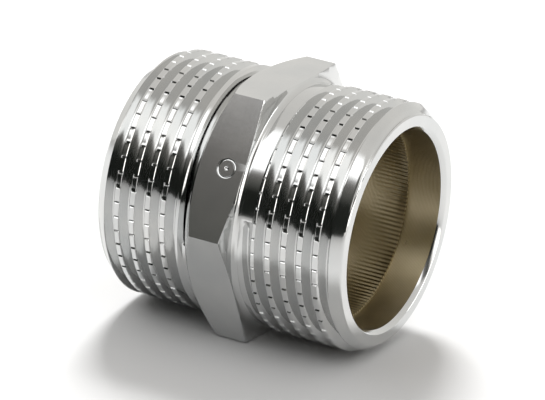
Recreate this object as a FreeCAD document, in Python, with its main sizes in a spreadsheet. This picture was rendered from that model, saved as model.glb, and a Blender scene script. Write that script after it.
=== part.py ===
"""Hex nipple, 3/4 inch pipe thread at both ends, plated brass.

Frame: millimetres, +X along the bore towards the right-hand end, +Z square to the upper
flat of the hexagon, origin on the bore axis half way between the two end faces.

The nipple is one turned piece with a plated skin, so two solids are built: the machined
brass, and the skin that is left when the brass is cut out of the plated outline. Both come
from the same features, and only the plating's thickness sets them apart. The bore is left
unplated, so the two share its walls.
"""
import FreeCAD, Part
import Sketcher
import math
import os

from FreeCAD import Placement, Rotation, Vector

# ---------------------------------------------------------------- driving dimensions (mm)
SIZES = {
    "overall_length": 28.5,        # end face to end face
    "crest_radius": 13.22,         # G 3/4 thread, over the crests
    "thread_pitch": 1.814,         # 14 threads to the inch
    "thread_depth": 1.05,          # crest to root
    "root_width": 0.2,             # flat at the bottom of the groove
    "flank_slope": 0.5206,         # tangent of half the 55 degree thread angle
    "collar_radius": 12.85,        # plain collars between thread and hexagon
    "hex_radius": 15.4,            # turned radius over the corners of the hexagon
    "hex_flats": 26.8,             # across flats, 27 mm bar after polishing
    "bore_radius": 10.45,          # bore between the two mouths
    "mouth_radius": 10.6,          # bore within mouth_depth of each end
    "mouth_depth": 4.2,
    "mouth_bevel": 0.35,           # bevel at the mouth, radially
    "mouth_bevel_length": 0.49,
    "end_face_radius": 12.16,      # flat seal face, outer edge
    "end_bevel_length": 1.4,       # lead-in bevel on the thread, along the axis
    "left_thread_end": 10.45,      # from the left end face: where the crest cylinder stops
    "left_shoulder": 11.2,         # ... foot of the left shoulder of the hexagon
    "left_ridge": 12.7,            # ... left end of the hexagon's corner ridges
    "right_ridge": 15.95,          # ... right end of the corner ridges
    "right_shoulder": 16.8,        # ... foot of the right shoulder
    "right_thread_start": 18.3,    # ... where the right crest cylinder starts
    "left_groove": 10.91,          # ... inner end of the left thread groove, full depth
    "left_groove_angle": 85.0,     # turn of that end about the axis, from +Z towards -Y
    "right_groove": 17.81,         # ... inner end of the right thread groove, full depth
    "right_groove_angle": 100.0,
    "groove_turns": 6.6,           # turns of each groove, past the end face
    "cutter_radius": 4.0,          # disc whose lift-off rounds the inner end of the groove
    "skin": 0.05,                  # thickness of the plated skin as modelled
}

EXTRA = 0.3                        # how far cutting shapes stand out of the metal
SLACK = 0.02                       # by how much the run-out disc is larger than the groove
MITRE = 1.0 / math.cos(math.radians(27.5)) - math.tan(math.radians(27.5))


class Dim:
    """A length that carries its value and the spreadsheet expression that drives it."""

    def __init__(self, value, text):
        self.value = value
        self.text = text

    def combine(self, sign, other):
        if not isinstance(other, Dim):
            other = Dim(float(other), repr(float(other)))
        value = self.value + other.value if sign == "+" else self.value - other.value
        return Dim(value, "(%s %s %s)" % (self.text, sign, other.text))

    def __add__(self, other):
        return self.combine("+", other)

    def __sub__(self, other):
        return self.combine("-", other)

    def __mul__(self, factor):
        if isinstance(factor, Dim):
            return Dim(self.value * factor.value, "(%s * %s)" % (self.text, factor.text))
        return Dim(self.value * factor, "(%s * %r)" % (self.text, float(factor)))


def make_sheet(doc):
    """Writes every driving dimension as a plain number with an alias."""
    sheet = doc.addObject("Spreadsheet::Sheet", "Sizes")
    for row, (alias, value) in enumerate(SIZES.items(), start=1):
        sheet.set("A%d" % row, alias)
        sheet.set("B%d" % row, "%g" % value)
        sheet.setAlias("B%d" % row, alias)
    doc.recompute()
    return sheet


def size(alias):
    return Dim(SIZES[alias], "Sizes.%s" % alias)


def plane(body, role):
    return [item for item in body.Origin.OriginFeatures if item.Role == role][0]


def outline(body, name, role, corners, turn=None):
    """A closed sketch of straight lines whose corners are all driven by the sheet.

    turn is the angle, in degrees, by which the sketch is swung about its own x axis.
    """
    sketch = body.newObject("Sketcher::SketchObject", name)
    sketch.AttachmentSupport = [(plane(body, role), "")]
    sketch.MapMode = "FlatFace"
    if turn is not None:
        sketch.AttachmentOffset = Placement(Vector(), Rotation(Vector(1, 0, 0), turn.value))
        sketch.setExpression("AttachmentOffset.Rotation.Angle", turn.text)
    count = len(corners)
    points = [Vector(across.value, up.value, 0) for across, up in corners]
    for index in range(count):
        line = Part.LineSegment(points[index], points[(index + 1) % count])
        sketch.addGeometry(line, False)
    for index in range(count):
        joint = Sketcher.Constraint("Coincident", index, 2, (index + 1) % count, 1)
        sketch.addConstraint(joint)
    for index, (across, up) in enumerate(corners):
        for kind, dim in (("DistanceX", across), ("DistanceY", up)):
            rule = Sketcher.Constraint(kind, -1, 1, index, 1, dim.value)
            number = sketch.addConstraint(rule)
            sketch.setExpression("Constraints[%d]" % number, dim.text)
    return sketch


def turned_outline(body, inset):
    """Half section of the turned blank, bore included; inset shrinks the plated faces."""
    length = size("overall_length")
    crest = size("crest_radius") - inset
    collar = size("collar_radius") - inset
    ridge = size("hex_radius") - inset
    face = size("end_face_radius") - inset * 0.5
    mouth = size("mouth_radius")
    bore = size("bore_radius")
    lip = mouth + size("mouth_bevel") + inset * 0.5
    lip_depth = size("mouth_bevel_length") + inset
    bevel = size("end_bevel_length") + inset * 0.34
    step = size("thread_pitch") * 0.2
    corners = [
        (inset, lip),
        (inset, face),
        (bevel, crest),
        (size("left_thread_end") - step, crest),
        (size("left_thread_end"), collar),
        (size("left_shoulder") + inset, collar),
        (size("left_ridge") + inset * 0.5, ridge),
        (size("right_ridge") - inset * 0.5, ridge),
        (size("right_shoulder") - inset, collar),
        (size("right_thread_start") + inset * 0.5, collar),
        (size("right_thread_start") + inset * 0.5 + step, crest),
        (length - bevel, crest),
        (length - inset, face),
        (length - inset, lip),
        (length - lip_depth, mouth),
        (length - size("mouth_depth"), mouth),
        (length - size("mouth_depth"), bore),
        (size("mouth_depth"), bore),
        (size("mouth_depth"), mouth),
        (lip_depth, mouth),
    ]
    return outline(body, "Outline", "XY_Plane", corners)


def groove_outline(body, name, place, turn, inset):
    """Section of the thread groove, swung to the angle at which its inner end lies."""
    outer = size("crest_radius") + EXTRA
    root = size("crest_radius") - size("thread_depth") - inset
    narrow = size("root_width") * 0.5 + inset * MITRE
    wide = narrow + size("flank_slope") * (size("thread_depth") + inset + EXTRA)
    corners = [
        (place - narrow, root),
        (place + narrow, root),
        (place + wide, outer),
        (place - wide, outer),
    ]
    return outline(body, name, "XZ_Plane", corners, turn)


def cut_groove(body, side, inset, towards_left):
    """Cuts one right-hand thread: turns running out past the end face from a round run-out."""
    place = size(side + "_groove")
    turn = size(side + "_groove_angle")
    section = groove_outline(body, side + "GrooveSection", place, turn, inset)
    helix = body.newObject("PartDesign::SubtractiveHelix", side + "Groove")
    helix.Profile = section
    helix.ReferenceAxis = (plane(body, "X_Axis"), [""])
    helix.Mode = "height-turns-growth"
    helix.Reversed = towards_left
    helix.LeftHanded = False
    helix.setExpression("Turns", "Sizes.groove_turns")
    helix.setExpression("Height", "Sizes.thread_pitch * Sizes.groove_turns")
    body.Tip = helix
    body.Document.recompute()

    disc = groove_outline(body, side + "RunoutSection", place, turn, inset + SLACK)
    height = size("crest_radius") - size("thread_depth") + size("cutter_radius")
    ends = [Vector(0, height.value, 0), Vector(1, height.value, 0)]
    spindle = disc.addGeometry(Part.LineSegment(*ends), True)
    for point in (1, 2):
        rule = Sketcher.Constraint("DistanceY", -1, 1, spindle, point, height.value)
        disc.setExpression("Constraints[%d]" % disc.addConstraint(rule), height.text)
        rule = Sketcher.Constraint("DistanceX", -1, 1, spindle, point, ends[point - 1].x)
        disc.addConstraint(rule)
    runout = body.newObject("PartDesign::Groove", side + "Runout")
    runout.Profile = disc
    runout.ReferenceAxis = (disc, ["Axis0"])
    runout.Angle = 360
    body.Tip = runout
    body.Document.recompute()


def machined_body(doc, name, inset):
    """The nipple as turned, hexed, bored and threaded, smaller all over by inset."""
    to_left_end = "-Sizes.overall_length / 2"
    body = doc.addObject("PartDesign::Body", name + "Blank")
    body.setExpression("Placement.Base.x", to_left_end)
    blank = body.newObject("PartDesign::Revolution", "Turned")
    blank.Profile = turned_outline(body, inset)
    blank.ReferenceAxis = (plane(body, "X_Axis"), [""])
    blank.Angle = 360
    body.Tip = blank
    doc.recompute()
    cut_groove(body, "left", inset, True)
    cut_groove(body, "right", inset, False)

    bar = doc.addObject("Part::Prism", name + "HexBar")
    bar.Polygon = 6
    flats = size("hex_flats") - inset * 2
    bar.setExpression("Circumradius", "%s / sqrt(3)" % flats.text)
    bar.setExpression("Height", "Sizes.overall_length")
    flat_up = Rotation(Vector(0, 1, 0), 90) * Rotation(Vector(0, 0, 1), 30)
    bar.Placement = Placement(Vector(), flat_up)
    bar.setExpression("Placement.Base.x", to_left_end)
    hexed = doc.addObject("Part::Common", name + "Hexed")
    hexed.Base = body
    hexed.Tool = bar
    hexed.Refine = False
    doc.recompute()
    return hexed


def faults(doc):
    """Names every object that did not rebuild, with its state."""
    return [(item.Name, item.State) for item in doc.Objects
            if any(word in item.State for word in ("Invalid", "Error"))]


def main():
    os.makedirs("parts", exist_ok=True)
    doc = FreeCAD.newDocument("hex_nipple")
    make_sheet(doc)
    no_inset = Dim(0.0, "0")
    plated = machined_body(doc, "Plated", no_inset)
    brass = machined_body(doc, "Brass", size("skin"))
    skin = doc.addObject("Part::Cut", "Skin")
    skin.Base = plated
    skin.Tool = brass
    skin.Refine = False
    doc.recompute()
    brass.Label = "brass_body"
    skin.Label = "chrome_plating"
    problems = faults(doc)
    if problems:
        raise RuntimeError("not rebuilt: %s" % problems)
    for part in (brass, skin):
        shape = part.Shape
        if shape.isNull() or not shape.isValid():
            raise RuntimeError("%s has no valid shape" % part.Label)
        print("%s: %d solid, %d faces, %.1f mm3" % (part.Label, len(shape.Solids),
                                                   len(shape.Faces), shape.Volume))
        shape.exportStep("parts/%s.step" % part.Label)


main()
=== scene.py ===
import math

import bpy
from mathutils import Matrix, Vector


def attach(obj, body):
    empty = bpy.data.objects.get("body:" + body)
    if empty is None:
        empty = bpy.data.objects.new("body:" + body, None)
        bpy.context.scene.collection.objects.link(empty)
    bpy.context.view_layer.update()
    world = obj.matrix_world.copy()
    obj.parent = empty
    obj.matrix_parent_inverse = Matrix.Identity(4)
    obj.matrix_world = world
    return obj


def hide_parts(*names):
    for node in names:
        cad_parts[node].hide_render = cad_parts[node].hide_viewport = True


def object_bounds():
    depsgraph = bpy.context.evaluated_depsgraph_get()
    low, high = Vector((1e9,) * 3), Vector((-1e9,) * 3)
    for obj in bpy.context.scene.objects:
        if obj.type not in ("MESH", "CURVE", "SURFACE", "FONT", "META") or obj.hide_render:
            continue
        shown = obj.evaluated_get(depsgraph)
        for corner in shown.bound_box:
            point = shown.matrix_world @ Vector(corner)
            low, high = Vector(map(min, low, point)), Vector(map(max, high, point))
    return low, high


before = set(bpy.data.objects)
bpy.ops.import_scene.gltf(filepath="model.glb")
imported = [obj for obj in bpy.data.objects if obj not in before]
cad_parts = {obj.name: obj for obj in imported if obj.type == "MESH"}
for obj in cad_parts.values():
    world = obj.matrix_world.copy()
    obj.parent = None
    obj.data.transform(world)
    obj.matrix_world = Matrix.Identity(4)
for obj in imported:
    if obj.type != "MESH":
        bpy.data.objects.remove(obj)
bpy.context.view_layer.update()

# Every length below is in millimetres unless its name ends in _m.
# The nipple lies along X, with its middle at 0.
MM = 0.001

# The outside thread, cut right-handed on both ends.
PITCH = 1.814
CREST = 13.22
ROOT = 12.17
FLANK = 0.5206
HALF_ROOT = 0.1
ROOT_ROUND = 0.165
COLUMNS = 624
COLUMNS_PER_NICK = 12
FIRST_NICK = 4.24
NICK_DEPTH = 0.12
BURR = 0.012
CUTTER_ROUND = 1.4
LEAD_IN = 12.85

# The plain parts of each end.
HALF_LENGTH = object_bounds()[1][0] / MM
COLLAR = 12.85
FACE_OUTER = 12.16
FACE_INNER = 10.95
MOUTH = 10.6
BORE = 10.45
MOUTH_STEP = 4.2
RIBS = 144
COLUMNS_PER_RIB = 4
RIB_DEPTH = 0.09
RIB_REACH = 4.2
LIP = 0.49
SLEEVE = 10.8
FACE_ROUND = 0.06

# How far each end reaches into the hexagon, where nobody sees it.
RIGHT_HIDDEN = 2.2
LEFT_HIDDEN = -2.6

# The hexagon bar.
FLAT = 13.4
TURNED = 15.4
STRIPS = 16
CROWN = 0.16


# ---------------------------------------------------------------- modelling helpers

def start_clean():
    """Leaves nothing selected, so that the next operator acts on the new piece alone."""
    if bpy.context.object is not None and bpy.context.object.mode != "OBJECT":
        bpy.ops.object.mode_set(mode="OBJECT")
    bpy.ops.object.select_all(action="DESELECT")


def draw_outline(name, points, closed):
    """Draws a chain of edges through (x, radius) points, in the plane that holds X and Z."""
    start_clean()
    bpy.ops.mesh.primitive_plane_add(size=MM)
    piece = bpy.context.active_object
    piece.name = name
    piece.data.name = name
    bpy.ops.object.mode_set(mode="EDIT")
    bpy.ops.mesh.select_mode(type="VERT")
    bpy.ops.mesh.select_all(action="SELECT")
    bpy.ops.mesh.merge(type="CENTER")
    bpy.ops.transform.translate(value=(points[0][0] * MM, 0, points[0][1] * MM))
    following = points[1:] + (points[:1] if closed else [])
    before = points[0]
    for point in following:
        move = ((point[0] - before[0]) * MM, 0, (point[1] - before[1]) * MM)
        bpy.ops.mesh.extrude_vertices_move(TRANSFORM_OT_translate={"value": move})
        before = point
    if closed:
        bpy.ops.mesh.select_all(action="SELECT")
        bpy.ops.mesh.remove_doubles(threshold=0.0005 * MM)
    bpy.ops.object.mode_set(mode="OBJECT")
    return piece


def spin_round(piece, steps):
    """Spins a closed outline once round X and closes the seam."""
    bpy.ops.object.mode_set(mode="EDIT")
    bpy.ops.mesh.select_all(action="SELECT")
    bpy.ops.mesh.spin(steps=steps, angle=2 * math.pi, center=(0, 0, 0), axis=(1, 0, 0))
    bpy.ops.object.mode_set(mode="OBJECT")
    weld(piece, 0.0005)


def apply_modifier(piece, kind, settings):
    """Adds one modifier with its settings and applies it."""
    bpy.context.view_layer.objects.active = piece
    piece.select_set(True)
    modifier = piece.modifiers.new(kind.title(), kind)
    for key, value in settings.items():
        setattr(modifier, key, value)
    bpy.ops.object.modifier_apply(modifier=modifier.name)


def weld(piece, distance):
    """Merges vertices that lie closer than the distance and turns all faces outwards."""
    bpy.ops.object.mode_set(mode="EDIT")
    bpy.ops.mesh.select_all(action="SELECT")
    bpy.ops.mesh.remove_doubles(threshold=distance * MM)
    bpy.ops.mesh.normals_make_consistent(inside=False)
    bpy.ops.object.mode_set(mode="OBJECT")


def select_open_edges(piece, x):
    """Selects the edges at x that have a face on one side only. The piece stays in edit mode."""
    bpy.ops.object.mode_set(mode="EDIT")
    bpy.ops.mesh.select_mode(type="EDGE")
    bpy.ops.mesh.select_all(action="DESELECT")
    bpy.ops.mesh.select_non_manifold(
        extend=False,
        use_wire=False,
        use_multi_face=False,
        use_non_contiguous=False,
        use_verts=False,
    )
    bpy.ops.object.mode_set(mode="OBJECT")
    for edge in piece.data.edges:
        ends = [piece.data.vertices[index].co.x / MM for index in edge.vertices]
        if edge.select and max(abs(end - x) for end in ends) > 0.001:
            edge.select = False
    bpy.ops.object.mode_set(mode="EDIT")


def score(x, trim):
    """Cuts an edge loop round the piece at x. Trim is -1 or +1 to cut away what lies on that side."""
    bpy.ops.object.mode_set(mode="EDIT")
    bpy.ops.mesh.select_all(action="SELECT")
    bpy.ops.mesh.bisect(
        plane_co=(x * MM, 0, 0),
        plane_no=(1, 0, 0),
        clear_inner=trim < 0,
        clear_outer=trim > 0,
        threshold=0.0001 * MM,
    )
    bpy.ops.object.mode_set(mode="OBJECT")


def between(x, points):
    """The radius at x on an outline of (x, radius) points in rising order."""
    if x <= points[0][0]:
        return points[0][1]
    for (x0, r0), (x1, r1) in zip(points, points[1:]):
        if x <= x1:
            return r0 + (r1 - r0) * (x - x0) / (x1 - x0)
    return points[-1][1]


def set_radius(vertex, radius):
    """Moves a vertex straight in or out from X."""
    factor = radius * MM / math.hypot(vertex.co.y, vertex.co.z)
    vertex.co.y *= factor
    vertex.co.z *= factor


def finish_piece(piece, angle):
    """Rounds the shading of a piece, except over edges sharper than the angle."""
    start_clean()
    bpy.context.view_layer.objects.active = piece
    piece.select_set(True)
    bpy.ops.object.shade_smooth_by_angle(angle=math.radians(angle))
    bpy.ops.object.select_all(action="DESELECT")


# ---------------------------------------------------------------- threaded ends

def thread_outline(centre):
    """One pitch of the thread from crest to crest, round the groove at centre."""
    edge = HALF_ROOT + (CREST - ROOT) * FLANK
    lean = math.atan(FLANK)
    half = []
    for part in (0.33, 0.67, 1.0):
        turn = part * (math.pi / 2 - lean)
        half.append((ROOT_ROUND * math.sin(turn), ROOT + ROOT_ROUND * (1 - math.cos(turn))))
    half += [
        (HALF_ROOT + 0.55 * FLANK, ROOT + 0.55),
        (edge - 0.11 * FLANK, CREST - 0.11),
        (edge - 0.045 * FLANK, CREST - 0.05),
        (edge + 0.012, CREST - 0.012),
        (edge + 0.05, CREST),
        (edge + 0.1, CREST),
    ]
    left = [(centre - PITCH / 2, CREST)] + [(centre - x, r) for x, r in reversed(half)]
    right = [(centre, ROOT)] + [(centre + x, r) for x, r in half] + [(centre + PITCH / 2, CREST)]
    return left + right


def wind_thread(name, start, turns):
    """Winds the groove outline up X from start, beginning at the first row of nicks."""
    piece = draw_outline(name, thread_outline(start), closed=False)
    apply_modifier(piece, "SCREW", {
        "axis": "X",
        "angle": 2 * math.pi,
        "screw_offset": PITCH * MM,
        "iterations": turns,
        "steps": COLUMNS,
        "render_steps": COLUMNS,
        "use_merge_vertices": True,
        "merge_threshold": 0.0005 * MM,
    })
    weld(piece, 0.0005)
    turn = math.radians(FIRST_NICK)
    for vertex in piece.data.vertices:
        y = vertex.co.y
        z = vertex.co.z
        vertex.co.y = y * math.cos(turn) - z * math.sin(turn)
        vertex.co.z = y * math.sin(turn) + z * math.cos(turn)
    return piece


def round_angle(vertex):
    """The angle of a vertex round X in degrees, from straight up towards the front."""
    return math.degrees(math.atan2(-vertex.co.y, vertex.co.z))


def run_out(piece, place, place_angle, side, lead):
    """Lifts the groove out of the metal with the cutter's round, lead degrees before its first turn."""
    for vertex in piece.data.vertices:
        angle = round_angle(vertex) - place_angle
        along = vertex.co.x / MM - place - PITCH * angle / 360
        past = side * (angle + 360 * round(along / PITCH)) + lead
        if past >= 0:
            continue
        travel = math.radians(-past) * CREST
        if travel >= CUTTER_ROUND:
            floor = 99.0
        else:
            floor = ROOT + CUTTER_ROUND - math.sqrt(CUTTER_ROUND ** 2 - travel ** 2)
        if math.hypot(vertex.co.y, vertex.co.z) < floor * MM:
            set_radius(vertex, floor)


def turn_down(piece, points):
    """Turns the outside down to an outline, as on a lathe."""
    for vertex in piece.data.vertices:
        limit = between(vertex.co.x / MM, points)
        if math.hypot(vertex.co.y, vertex.co.z) > limit * MM:
            set_radius(vertex, limit)


def press_nicks(piece, first, last):
    """Presses a row of small V nicks into the crests, each with a slight burr beside it."""
    for vertex in piece.data.vertices:
        x = vertex.co.x / MM
        radius = math.hypot(vertex.co.y, vertex.co.z) / MM
        if not first < x < last or radius < CREST - 0.05:
            continue
        column = (round_angle(vertex) - FIRST_NICK) * COLUMNS / 360
        if abs(column - round(column)) > 0.1:
            continue
        step = round(column) % COLUMNS_PER_NICK
        if step == 0:
            set_radius(vertex, radius - NICK_DEPTH)
        elif step in (1, COLUMNS_PER_NICK - 1):
            set_radius(vertex, radius + BURR)


def close_tube(piece, end, inner_end):
    """Folds the end face and the mouth inwards, and joins the inside to the hidden end of the tube."""
    side = 1 if end > 0 else -1
    select_open_edges(piece, end)
    path = [
        (end, FACE_INNER + FACE_ROUND),
        (end - side * 0.05, FACE_INNER - 0.02),
        (end - side * LIP, MOUTH),
        (end - side * LIP, SLEEVE),
        (inner_end, SLEEVE),
    ]
    x = end
    radius = FACE_OUTER - FACE_ROUND
    for next_x, next_radius in path:
        factor = next_radius / radius
        bpy.ops.mesh.extrude_edges_move(TRANSFORM_OT_translate={"value": ((next_x - x) * MM, 0, 0)})
        bpy.ops.transform.resize(value=(1, factor, factor), center_override=(0, 0, 0))
        x = next_x
        radius = next_radius
    bpy.ops.object.mode_set(mode="OBJECT")
    select_open_edges(piece, inner_end)
    bpy.ops.mesh.fill(use_beauty=False)
    bpy.ops.object.mode_set(mode="OBJECT")
    weld(piece, 0.0005)


def make_right_end():
    """The threaded end towards +X, from inside the hexagon to the end face."""
    place = 3.56
    place_angle = 100
    start = place + PITCH * (FIRST_NICK - place_angle) / 360 - PITCH
    piece = wind_thread("right_threaded_end", start, 8)
    score(RIGHT_HIDDEN, -1)
    score(HALF_LENGTH, 1)
    for x in (4.05, 4.413, LEAD_IN, 13.2, 13.6, 13.95, 14.17):
        score(x, 0)
    run_out(piece, place, place_angle, 1, 14.0)
    turn_down(piece, [
        (4.05, COLLAR),
        (4.413, CREST),
        (LEAD_IN, CREST),
        (HALF_LENGTH - 0.08, FACE_OUTER + 0.05),
        (HALF_LENGTH, FACE_OUTER - FACE_ROUND),
    ])
    press_nicks(piece, 4.1, 12.6)
    close_tube(piece, HALF_LENGTH, RIGHT_HIDDEN)
    finish_piece(piece, 28)
    return piece


def make_left_end():
    """The threaded end towards -X, with its smooth first land beside the hexagon."""
    place = -3.34
    place_angle = 85
    start = place + PITCH * (FIRST_NICK - place_angle) / 360 - 7 * PITCH
    piece = wind_thread("left_threaded_end", start, 9)
    score(-HALF_LENGTH, -1)
    score(LEFT_HIDDEN, 1)
    for x in (-3.8, -4.163, -LEAD_IN, -13.2, -13.6, -13.95, -14.17):
        score(x, 0)
    run_out(piece, place, place_angle, -1, 10.0)
    turn_down(piece, [
        (-HALF_LENGTH, FACE_OUTER - FACE_ROUND),
        (-HALF_LENGTH + 0.08, FACE_OUTER + 0.05),
        (-LEAD_IN, CREST),
        (-4.163, CREST),
        (-3.8, COLLAR),
    ])
    press_nicks(piece, -13.6, -5.15)
    close_tube(piece, -HALF_LENGTH, LEFT_HIDDEN)
    finish_piece(piece, 28)
    return piece


# ---------------------------------------------------------------- hexagon

def make_bar():
    """A hexagon bar along X, lying on a flat, whose flats are slightly crowned by polishing."""
    start_clean()
    bpy.ops.mesh.primitive_cylinder_add(
        vertices=6 * STRIPS,
        radius=TURNED * MM,
        depth=12 * MM,
        rotation=(0, math.pi / 2, 0),
    )
    bar = bpy.context.active_object
    bpy.ops.object.transform_apply(location=True, rotation=True, scale=True)
    half_side = FLAT * math.tan(math.radians(30))
    for vertex in bar.data.vertices:
        from_flat = math.radians((round_angle(vertex) + 30) % 60 - 30)
        across = FLAT * math.tan(from_flat)
        height = FLAT - CROWN * (across / half_side) ** 2
        set_radius(vertex, math.hypot(height, across))
    return bar


def engrave_mark(piece):
    """Engraves a plain ring and dot on the upper front flat."""
    lean = math.radians(60)
    place = Vector((0.1, -FLAT * math.sin(lean), FLAT * math.cos(lean))) * MM
    start_clean()
    bpy.ops.mesh.primitive_torus_add(
        major_radius=0.95 * MM,
        minor_radius=0.14 * MM,
        major_segments=96,
        minor_segments=12,
        location=place,
        rotation=(lean, 0, 0),
    )
    ring = bpy.context.active_object
    bpy.ops.mesh.primitive_uv_sphere_add(radius=0.3 * MM, segments=32, ring_count=16, location=place * 1.01)
    dot = bpy.context.active_object
    for cutter in (ring, dot):
        start_clean()
        apply_modifier(piece, "BOOLEAN", {"operation": "DIFFERENCE", "object": cutter, "solver": "EXACT"})
        bpy.data.objects.remove(cutter)


def make_hexagon():
    """The hexagon bar, turned to a cone on each side and rounded into the collars."""
    outline = [
        (LEFT_HIDDEN, SLEEVE),
        (LEFT_HIDDEN, COLLAR - 0.01),
        (-3.45, COLLAR - 0.01),
        (-3.45, COLLAR + 0.02),
        (-3.24, COLLAR + 0.08),
        (-3.08, COLLAR + 0.26),
        (-2.95, COLLAR + 0.52),
        (-2.35, 14.37),
        (-1.62, TURNED),
        (1.7, TURNED),
        (1.84, 14.65),
        (2.0, 13.8),
        (2.1, COLLAR + 0.52),
        (2.22, COLLAR + 0.28),
        (2.42, COLLAR + 0.09),
        (2.66, COLLAR + 0.02),
        (2.66, COLLAR - 0.01),
        (RIGHT_HIDDEN, COLLAR - 0.01),
        (RIGHT_HIDDEN, SLEEVE),
    ]
    piece = draw_outline("hexagon_collar", outline, closed=True)
    spin_round(piece, 360)
    bar = make_bar()
    start_clean()
    apply_modifier(piece, "BOOLEAN", {"operation": "INTERSECT", "object": bar, "solver": "EXACT"})
    bpy.data.objects.remove(bar)
    weld(piece, 0.004)
    apply_modifier(piece, "BEVEL", {
        "width": 0.09 * MM,
        "segments": 2,
        "limit_method": "ANGLE",
        "angle_limit": math.radians(25),
        "use_clamp_overlap": True,
    })
    weld(piece, 0.002)
    engrave_mark(piece)
    finish_piece(piece, 30)
    apply_modifier(piece, "WEIGHTED_NORMAL", {"keep_sharp": True, "weight": 90})
    return piece


# ---------------------------------------------------------------- bore

def make_bore():
    """The bare brass wall of the bore, a little wider at each mouth, with fine ribs beyond each step."""
    outside = HALF_LENGTH - LIP
    step = HALF_LENGTH - MOUTH_STEP
    rows = [step - 0.04, step - 0.5, step - 1.2, step - 2.0, step - 3.0, step - RIB_REACH]
    inner = [(outside, MOUTH), (step, MOUTH)] + [(x, BORE) for x in rows]
    mirrored = [(-x, r) for x, r in reversed(inner)]
    outer = [(-outside, SLEEVE), (outside, SLEEVE)]
    piece = draw_outline("brass_bore", inner + mirrored + outer, closed=True)
    spin_round(piece, COLUMNS_PER_RIB * RIBS)
    for vertex in piece.data.vertices:
        x = abs(vertex.co.x) / MM
        radius = math.hypot(vertex.co.y, vertex.co.z) / MM
        if x < rows[-1] + 0.01 or radius > BORE + 0.01:
            continue
        column = round(round_angle(vertex) * COLUMNS_PER_RIB * RIBS / 360)
        fade = (x - rows[-1]) / (rows[0] - rows[-1])
        rib = 0.5 - 0.5 * math.cos(2 * math.pi * column / COLUMNS_PER_RIB)
        set_radius(vertex, BORE - RIB_DEPTH * fade * rib)
    finish_piece(piece, 30)
    return piece


# ---------------------------------------------------------------- finishes

class Amount:
    """A number that changes over a surface, which takes + and * like any other number."""

    def __init__(self, sheet, socket):
        self.sheet = sheet
        self.socket = socket

    def work(self, operation, first, second):
        return self.sheet.add("ShaderNodeMath", {"operation": operation}, {0: first, 1: second})

    def __add__(self, other):
        return self.work("ADD", self, other)

    def __radd__(self, other):
        return self.work("ADD", other, self)

    def __mul__(self, other):
        return self.work("MULTIPLY", self, other)


class Sheet:
    """The node sheet of one finish."""

    def __init__(self, tree):
        self.tree = tree
        tree.nodes.clear()

    def add(self, kind, settings=None, inputs=None, output=0):
        """Adds a node: its type, then its settings, then the values or links of its sockets."""
        node = self.tree.nodes.new(kind)
        for key, value in (settings or {}).items():
            if key == "stops":
                self.set_stops(node.color_ramp, value)
            else:
                setattr(node, key, value)
        for key, value in (inputs or {}).items():
            if isinstance(value, Amount):
                self.tree.links.new(value.socket, node.inputs[key])
            else:
                node.inputs[key].default_value = value
        return Amount(self, node.outputs[output])

    def set_stops(self, ramp, stops):
        """Places the stops of a colour ramp."""
        while len(ramp.elements) < len(stops):
            ramp.elements.new(1.0)
        for element, (position, colour) in zip(ramp.elements, stops):
            element.position = position
            element.color = colour

    def place(self):
        """The place on the piece, in metres."""
        return self.add("ShaderNodeTexCoord", output="Object")

    def axes(self, place):
        """The three parts of a place, each as an amount."""
        node = self.add("ShaderNodeSeparateXYZ", {}, {"Vector": place}).socket.node
        return [Amount(self, socket) for socket in node.outputs]

    def noise(self, place, scale, detail):
        """Soft cloudy patches."""
        return self.add("ShaderNodeTexNoise", {}, {"Vector": place, "Scale": scale, "Detail": detail}, "Fac")

    def stretched(self, place, x, y, z):
        """The place, scaled along each axis."""
        return self.add("ShaderNodeMapping", {}, {"Vector": place, "Scale": (x, y, z)})

    def bump(self, height, depth_m):
        """Fine relief of the given depth."""
        relief = {"Height": height, "Strength": 1.0, "Distance": depth_m}
        return self.add("ShaderNodeBump", {}, relief, "Normal")

    def blend(self, amount, first, second):
        """A colour between the first and the second."""
        return self.add("ShaderNodeMix", {"data_type": "RGBA"}, {0: amount, 6: first, 7: second}, 2)

    def surface(self, inputs):
        """Ends the sheet of a material."""
        shader = self.add("ShaderNodeBsdfPrincipled", {}, inputs)
        output = self.tree.nodes.new("ShaderNodeOutputMaterial")
        self.tree.links.new(shader.socket, output.inputs["Surface"])


def new_finish(name):
    """A new material and its empty sheet."""
    material = bpy.data.materials.new(name)
    material.use_nodes = True
    return material, Sheet(material.node_tree)


def make_chrome():
    """Bright chrome plating over polished brass, with faint turning lines and a little handling haze."""
    material, sheet = new_finish("bright_chrome")
    place = sheet.place()
    haze = sheet.noise(place, 160.0, 4.0)
    grain = sheet.noise(place, 2600.0, 2.0)
    lines = sheet.noise(sheet.stretched(place, 9000.0, 60.0, 60.0), 1.0, 2.0)
    tint = sheet.add("ShaderNodeValToRGB", {"stops": [
        (0.3, (0.60, 0.61, 0.61, 1)),
        (0.7, (0.68, 0.68, 0.67, 1)),
    ]}, {"Fac": haze})
    sheet.surface({
        "Base Color": tint,
        "Metallic": 1.0,
        "Roughness": 0.05 + haze * 0.06 + grain * 0.03,
        "Normal": sheet.bump(grain * 0.25 + lines * 0.5, 0.000003),
    })
    return material


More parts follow.
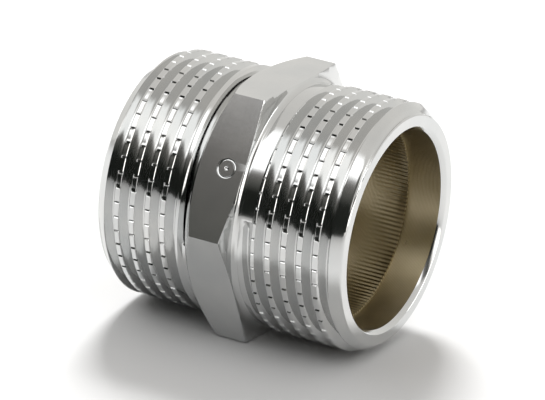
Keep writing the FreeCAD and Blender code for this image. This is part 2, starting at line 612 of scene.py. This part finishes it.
def make_brass():
    """Bare turned brass, browner in patches, with painted shade as dark lines along the ribs of the bore."""
    material, sheet = new_finish("bare_brass")
    place = sheet.place()
    x, y, z = sheet.axes(place)
    patches = sheet.noise(place, 180.0, 3.0)
    rings = sheet.add("ShaderNodeTexWave", {"wave_type": "BANDS", "bands_direction": "X"}, {
        "Vector": place, "Scale": 2000.0, "Distortion": 1.5, "Detail": 2.0, "Detail Scale": 0.2,
    }, "Fac")
    around = sheet.add("ShaderNodeMath", {"operation": "ARCTAN2"}, {0: y, 1: z})
    ribs = sheet.add("ShaderNodeMath", {"operation": "SINE"}, {0: around * float(RIBS)}) * 0.5 + 0.5
    depth = sheet.add("ShaderNodeMath", {"operation": "ABSOLUTE"}, {0: x})
    step_m = (HALF_LENGTH - MOUTH_STEP) * MM
    fading = sheet.add("ShaderNodeMapRange", {"clamp": True}, {
        "Value": depth, "From Min": step_m - RIB_REACH * MM, "From Max": step_m - 0.8 * MM,
    })
    inside = sheet.add("ShaderNodeMath", {"operation": "LESS_THAN"}, {0: depth, 1: step_m})
    # Painted shade: dark stripes along the ribs beyond each step, standing in for the shade in the rib
    # grooves.
    painted_rib_shade = ribs * fading * inside * (0.55 + rings * 0.45)
    tint = sheet.add("ShaderNodeValToRGB", {"stops": [
        (0.2, (0.36, 0.31, 0.20, 1)),
        (0.5, (0.48, 0.42, 0.29, 1)),
        (0.8, (0.60, 0.53, 0.39, 1)),
    ]}, {"Fac": patches * 0.75 + rings * 0.25})
    # Blends the painted rib shade into the brass colour, almost to black.
    shade = sheet.blend(painted_rib_shade * 0.92, tint, (0.06, 0.045, 0.02, 1))
    sheet.surface({
        "Base Color": shade,
        "Metallic": 1.0,
        "Roughness": 0.24 + patches * 0.12,
        "Normal": sheet.bump(rings, 0.000017),
    })
    return material


def make_floor_finish():
    """A plain pale grey, slightly soft in its shine."""
    material, sheet = new_finish("pale_floor")
    sheet.surface({"Base Color": (0.56, 0.56, 0.56, 1), "Roughness": 0.7})
    return material


# ---------------------------------------------------------------- studio

def make_floor():
    """The pale floor under the lower flat of the hexagon."""
    start_clean()
    bpy.ops.mesh.primitive_plane_add(size=3.0, location=(0, 0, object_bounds()[0][2]))
    floor = bpy.context.active_object
    floor.name = "floor"
    bpy.ops.object.transform_apply(location=True, rotation=True, scale=True)
    floor.data.materials.append(make_floor_finish())


def make_room():
    """The light of the room: bright behind, above and beyond the right end, and dark low at the front."""
    world = bpy.data.worlds.new("studio_room")
    bpy.context.scene.world = world
    world.use_nodes = True
    sheet = Sheet(world.node_tree)
    way = sheet.add("ShaderNodeTexCoord", output="Generated")
    along, depth, height = sheet.axes(way)
    front = sheet.add("ShaderNodeValToRGB", {"stops": [
        (0.0, (0.012, 0.014, 0.012, 1)),
        (0.36, (0.016, 0.018, 0.015, 1)),
        (0.49, (0.12, 0.12, 0.11, 1)),
        (0.56, (0.20, 0.19, 0.18, 1)),
        (0.60, (0.42, 0.41, 0.40, 1)),
        (0.65, (2.0, 2.0, 2.0, 1)),
        (0.88, (2.0, 2.0, 2.0, 1)),
        (0.93, (0.85, 0.83, 0.80, 1)),
    ]}, {"Fac": height})
    back = sheet.add("ShaderNodeValToRGB", {"stops": [
        (0.0, (0.92, 0.91, 0.88, 1)),
        (0.9, (0.80, 0.78, 0.75, 1)),
    ]}, {"Fac": height})
    side = sheet.add("ShaderNodeMapRange", {"clamp": True}, {
        "Value": depth, "From Min": -0.08, "From Max": 0.02,
    })
    end = sheet.add("ShaderNodeMapRange", {"clamp": True}, {
        "Value": along, "From Min": 0.84, "From Max": 0.93,
    })
    level = sheet.add("ShaderNodeMapRange", {"clamp": True}, {
        "Value": height, "From Min": 0.45, "From Max": 0.2,
    })
    colour = sheet.blend(end * level, sheet.blend(side, front, back), (3.2, 3.1, 3.0, 1))
    light = sheet.add("ShaderNodeBackground", {}, {"Color": colour, "Strength": 1.0})
    output = world.node_tree.nodes.new("ShaderNodeOutputWorld")
    world.node_tree.links.new(light.socket, output.inputs["Surface"])


def add_soft_light(name, place_m, size_m, power, mirrored):
    """One soft light card, turned towards the nipple. The metal mirrors it only where mirrored is true."""
    start_clean()
    bpy.ops.object.light_add(type="AREA", location=place_m)
    light = bpy.context.active_object
    light.name = name
    light.data.shape = "RECTANGLE"
    light.data.size = size_m[0]
    light.data.size_y = size_m[1]
    light.data.energy = power
    light.visible_glossy = mirrored
    light.rotation_euler = (-Vector(place_m)).to_track_quat("-Z", "Y").to_euler()


def aim_camera():
    """A long lens from the front right and a little above, rolled slightly."""
    azimuth = math.radians(27.434)
    elevation = math.radians(20.507)
    roll = math.radians(4.527)
    back = Vector((
        math.sin(azimuth) * math.cos(elevation),
        -math.cos(azimuth) * math.cos(elevation),
        math.sin(elevation),
    ))
    right = Vector((math.cos(azimuth), math.sin(azimuth), 0))
    up = back.cross(right)
    across = math.cos(roll) * right + math.sin(roll) * up
    upward = math.cos(roll) * up - math.sin(roll) * right
    start_clean()
    bpy.ops.object.camera_add()
    camera = bpy.context.active_object
    camera.name = "camera"
    camera.data.sensor_fit = "HORIZONTAL"
    camera.data.sensor_width = 36.0
    camera.data.lens = 268.56
    camera.data.clip_start = 0.01
    place = Vector((0.676 * MM, 0, 0)) + back * 0.42196 - right * 0.97 * MM - up * 0.06 * MM
    camera.matrix_world = Matrix((
        (across.x, upward.x, back.x, place.x),
        (across.y, upward.y, back.y, place.y),
        (across.z, upward.z, back.z, place.z),
        (0, 0, 0, 1),
    ))
    bpy.context.scene.camera = camera


# ---------------------------------------------------------------- assembly

def fit_piece(piece, material, node):
    """Gives a piece its finish and fixes it to the body in place of the plain solid."""
    piece.data.materials.clear()
    piece.data.materials.append(material)
    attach(piece, "root")
    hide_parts(node)


chrome = make_chrome()
brass = make_brass()
fit_piece(make_right_end(), chrome, "chrome_plating")
fit_piece(make_left_end(), chrome, "chrome_plating")
fit_piece(make_hexagon(), chrome, "chrome_plating")
fit_piece(make_bore(), brass, "brass_body")
make_floor()
make_room()
add_soft_light("side_window", (0.224, 0.1, 0.048), (0.09, 0.08), 0.07, True)
add_soft_light("key_light", (-0.14, 0.22, 0.30), (0.1, 0.1), 2.4, False)
aim_camera()
bpy.context.scene.view_settings.view_transform = "Standard"
